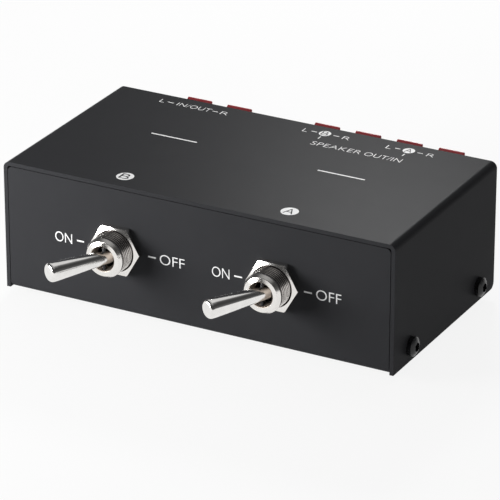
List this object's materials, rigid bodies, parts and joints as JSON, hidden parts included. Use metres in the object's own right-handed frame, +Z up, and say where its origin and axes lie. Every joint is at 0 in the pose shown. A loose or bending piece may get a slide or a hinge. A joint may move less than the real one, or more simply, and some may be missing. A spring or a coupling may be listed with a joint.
{
  "type": "speaker selector switch",
  "caption": "Flat steel box with bat-handle toggle switches on the front and push-lever wire terminals on the rear, to route an amplifier's output to speaker pairs.",
  "frame": {"origin": "on the surface that the feet stand on, below the middle of the object's outer box", "axes": "+X to the right seen from the front, +Y from the front to the rear, +Z up"},
  "size_m": [0.1292, 0.0984, 0.042],
  "materials": {
    "black_coat": "satin powder coat",
    "nickel": "satin nickel plate",
    "chrome": "polished",
    "zinc_steel": "zinc plated",
    "black_screw": "black oxide",
    "foot_rubber": "matte",
    "case_plastic": "moulded phenolic",
    "nylon": "moulded nylon",
    "contact_brass": "tinned brass",
    "terminal_black": "moulded",
    "lever_red": "moulded",
    "lever_black": "moulded",
    "wire_red": "vinyl insulation",
    "wire_black": "vinyl insulation"
  },
  "bodies": {
    "housing": {"chassis_tray": "black_coat", "top_cover": "black_coat", "cover_screws": "black_screw", "clinch_nuts": "zinc_steel", "rubber_feet": "foot_rubber", "bushing_b": "nickel", "panel_nut_b": "nickel", "lock_washer_b": "zinc_steel", "switch_frame_b": "zinc_steel", "switch_case_b": "case_plastic", "solder_lugs_b": "contact_brass", "rocker_pin_b": "zinc_steel", "bushing_a": "nickel", "panel_nut_a": "nickel", "lock_washer_a": "zinc_steel", "switch_frame_a": "zinc_steel", "switch_case_a": "case_plastic", "solder_lugs_a": "contact_brass", "rocker_pin_a": "zinc_steel", "input_terminal_body": "terminal_black", "input_clips": "contact_brass", "output_terminal_body": "terminal_black", "output_clips": "contact_brass", "terminal_rivets": "zinc_steel", "red_wires": "wire_red", "black_wires": "wire_black"},
    "toggle_b": {"toggle_lever_b": "chrome", "lever_pins_b": "zinc_steel", "plunger_b": "zinc_steel", "plunger_spring_b": "zinc_steel"},
    "rocker_b": {"rocker_b": "nylon", "contact_plates_b": "contact_brass"},
    "toggle_a": {"toggle_lever_a": "chrome", "lever_pins_a": "zinc_steel", "plunger_a": "zinc_steel", "plunger_spring_a": "zinc_steel"},
    "rocker_a": {"rocker_a": "nylon", "contact_plates_a": "contact_brass"},
    "input_lever_1_red": {"input_lever_1_red": "lever_red"},
    "input_lever_1_black": {"input_lever_1_black": "lever_black"},
    "input_lever_2_red": {"input_lever_2_red": "lever_red"},
    "input_lever_2_black": {"input_lever_2_black": "lever_black"},
    "output_lever_1_red": {"output_lever_1_red": "lever_red"},
    "output_lever_1_black": {"output_lever_1_black": "lever_black"},
    "output_lever_2_red": {"output_lever_2_red": "lever_red"},
    "output_lever_2_black": {"output_lever_2_black": "lever_black"},
    "output_lever_3_red": {"output_lever_3_red": "lever_red"},
    "output_lever_3_black": {"output_lever_3_black": "lever_black"},
    "output_lever_4_red": {"output_lever_4_red": "lever_red"},
    "output_lever_4_black": {"output_lever_4_black": "lever_black"}
  },
  "joints": [
    {"name": "toggle_b_swing", "type": "hinge", "parent": "housing", "child": "toggle_b", "pos_m": [-0.0253, -0.03179, 0.02235], "axis": [0, 0, 1], "range_deg": [0, 55.2]},
    {"name": "rocker_b_tip", "type": "hinge", "parent": "housing", "child": "rocker_b", "pos_m": [-0.0253, -0.01579, 0.02235], "axis": [0, 0, 1], "range_deg": [-12.9, 0]},
    {"name": "toggle_a_swing", "type": "hinge", "parent": "housing", "child": "toggle_a", "pos_m": [0.0253, -0.03179, 0.02235], "axis": [0, 0, 1], "range_deg": [0, 55.2]},
    {"name": "rocker_a_tip", "type": "hinge", "parent": "housing", "child": "rocker_a", "pos_m": [0.0253, -0.01579, 0.02235], "axis": [0, 0, 1], "range_deg": [-12.9, 0]},
    {"name": "input_lever_1_red_press", "type": "hinge", "parent": "housing", "child": "input_lever_1_red", "pos_m": [-0.03885, 0.03971, 0.03175], "axis": [-1, 0, 0], "range_deg": [0, 20], "stiffness_Nm_per_rad": 0.05, "springref_deg": -17.19, "deforming": ["input_clips"]},
    {"name": "input_lever_1_black_press", "type": "hinge", "parent": "housing", "child": "input_lever_1_black", "pos_m": [-0.03885, 0.03971, 0.01275], "axis": [1, 0, 0], "range_deg": [0, 20], "stiffness_Nm_per_rad": 0.05, "springref_deg": -17.19, "deforming": ["input_clips"]},
    {"name": "input_lever_2_red_press", "type": "hinge", "parent": "housing", "child": "input_lever_2_red", "pos_m": [-0.02535, 0.03971, 0.03175], "axis": [-1, 0, 0], "range_deg": [0, 20], "stiffness_Nm_per_rad": 0.05, "springref_deg": -17.19, "deforming": ["input_clips"]},
    {"name": "input_lever_2_black_press", "type": "hinge", "parent": "housing", "child": "input_lever_2_black", "pos_m": [-0.02535, 0.03971, 0.01275], "axis": [1, 0, 0], "range_deg": [0, 20], "stiffness_Nm_per_rad": 0.05, "springref_deg": -17.19, "deforming": ["input_clips"]},
    {"name": "output_lever_1_red_press", "type": "hinge", "parent": "housing", "child": "output_lever_1_red", "pos_m": [0.0041, 0.03971, 0.03175], "axis": [-1, 0, 0], "range_deg": [0, 20], "stiffness_Nm_per_rad": 0.05, "springref_deg": -17.19, "deforming": ["output_clips"]},
    {"name": "output_lever_1_black_press", "type": "hinge", "parent": "housing", "child": "output_lever_1_black", "pos_m": [0.0041, 0.03971, 0.01275], "axis": [1, 0, 0], "range_deg": [0, 20], "stiffness_Nm_per_rad": 0.05, "springref_deg": -17.19, "deforming": ["output_clips"]},
    {"name": "output_lever_2_red_press", "type": "hinge", "parent": "housing", "child": "output_lever_2_red", "pos_m": [0.0176, 0.03971, 0.03175], "axis": [-1, 0, 0], "range_deg": [0, 20], "stiffness_Nm_per_rad": 0.05, "springref_deg": -17.19, "deforming": ["output_clips"]},
    {"name": "output_lever_2_black_press", "type": "hinge", "parent": "housing", "child": "output_lever_2_black", "pos_m": [0.0176, 0.03971, 0.01275], "axis": [1, 0, 0], "range_deg": [0, 20], "stiffness_Nm_per_rad": 0.05, "springref_deg": -17.19, "deforming": ["output_clips"]},
    {"name": "output_lever_3_red_press", "type": "hinge", "parent": "housing", "child": "output_lever_3_red", "pos_m": [0.0311, 0.03971, 0.03175], "axis": [-1, 0, 0], "range_deg": [0, 20], "stiffness_Nm_per_rad": 0.05, "springref_deg": -17.19, "deforming": ["output_clips"]},
    {"name": "output_lever_3_black_press", "type": "hinge", "parent": "housing", "child": "output_lever_3_black", "pos_m": [0.0311, 0.03971, 0.01275], "axis": [1, 0, 0], "range_deg": [0, 20], "stiffness_Nm_per_rad": 0.05, "springref_deg": -17.19, "deforming": ["output_clips"]},
    {"name": "output_lever_4_red_press", "type": "hinge", "parent": "housing", "child": "output_lever_4_red", "pos_m": [0.0446, 0.03971, 0.03175], "axis": [-1, 0, 0], "range_deg": [0, 20], "stiffness_Nm_per_rad": 0.05, "springref_deg": -17.19, "deforming": ["output_clips"]},
    {"name": "output_lever_4_black_press", "type": "hinge", "parent": "housing", "child": "output_lever_4_black", "pos_m": [0.0446, 0.03971, 0.01275], "axis": [1, 0, 0], "range_deg": [0, 20], "stiffness_Nm_per_rad": 0.05, "springref_deg": -17.19, "deforming": ["output_clips"]}
  ],
  "couplings": [
    {"joint": "rocker_b_tip", "follows": "toggle_b_swing", "ratio": -0.23281},
    {"joint": "rocker_a_tip", "follows": "toggle_a_swing", "ratio": -0.23281}
  ]
}
